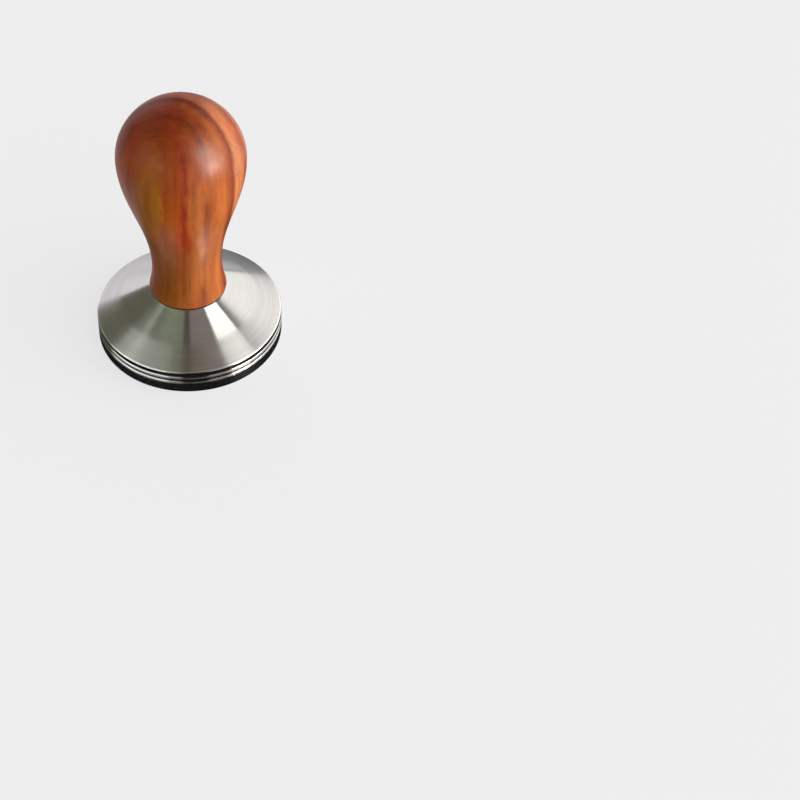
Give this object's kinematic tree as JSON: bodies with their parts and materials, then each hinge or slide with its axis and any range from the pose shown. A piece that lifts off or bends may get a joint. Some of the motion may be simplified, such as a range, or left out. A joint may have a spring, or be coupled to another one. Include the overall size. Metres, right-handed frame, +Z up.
{
  "type": "espresso tamper",
  "caption": "Espresso tamper: a round stainless base with a conical top and grooved rim, and a turned hardwood bulb handle that unscrews on a threaded stud.",
  "frame": {"origin": "centre of the flat tamping face, on the tamper's own axis", "axes": "+Z up the axis, from the tamping face to the top of the handle; the outside is round, so X and Y are free"},
  "size_m": [0.058, 0.058, 0.0893],
  "materials": {
    "steel": "satin turned stainless steel",
    "wood": "oiled and polished red-brown hardwood",
    "brass": "machined brass",
    "zinc": "zinc-plated steel",
    "fibre": "red vulcanised fibre"
  },
  "bodies": {
    "base": {"tamper_base": "steel"},
    "washer": {"washer": "fibre"},
    "handle": {"handle": "wood", "threaded_insert": "brass", "stud": "zinc"}
  },
  "joints": [
    {"name": "handle_lift", "type": "slide", "parent": "base", "child": "washer", "axis": [0, 0, 1], "range_m": [0, 0.01125]},
    {"name": "handle_turn", "type": "hinge", "parent": "washer", "child": "handle", "pos_m": [0, 0, 0.0186], "axis": [0, 0, 1], "range_deg": [0, 3240]}
  ],
  "couplings": [
    {"joint": "handle_lift", "follows": "handle_turn", "m_per_rad": 0.00019894}
  ]
}
